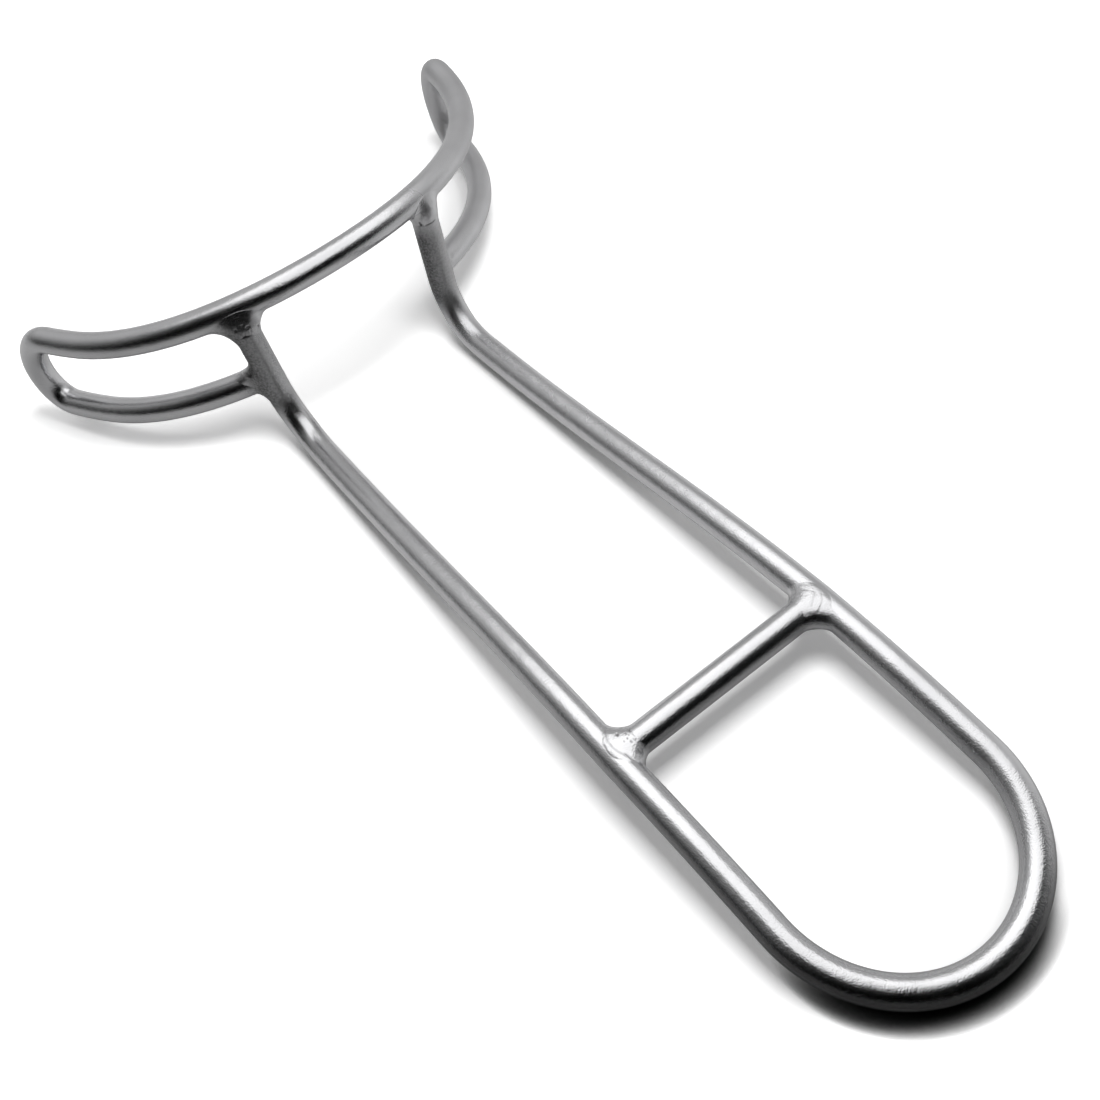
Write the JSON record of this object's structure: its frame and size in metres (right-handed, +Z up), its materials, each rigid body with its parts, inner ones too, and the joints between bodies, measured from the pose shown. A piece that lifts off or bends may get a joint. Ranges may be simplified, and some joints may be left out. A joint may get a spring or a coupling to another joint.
{
  "type": "handheld surgical retractor",
  "caption": "Open wire hand retractor: a finger-loop handle of bent round rod with a crossbar, welded to a curved double-rail blade for holding tissue back.",
  "frame": {"origin": "centre of the overall box in X and Y, at the ground that the retractor lies on", "axes": "+X to the user's right with the loop held near, +Y from the finger loop towards the blade, +Z up"},
  "size_m": [0.1062, 0.208, 0.0347],
  "materials": {
    "rod_steel": "satin drawn rod",
    "weld_steel": "dressed weld, finely pitted"
  },
  "bodies": {
    "root": {"handle_rod": "rod_steel", "crossbar": "rod_steel", "head_rod": "rod_steel", "weld_crossbar_left": "weld_steel", "weld_crossbar_right": "weld_steel", "weld_rail_left": "weld_steel", "weld_rail_right": "weld_steel", "weld_lower_left": "weld_steel", "weld_lower_right": "weld_steel"}
  },
  "joints": []
}
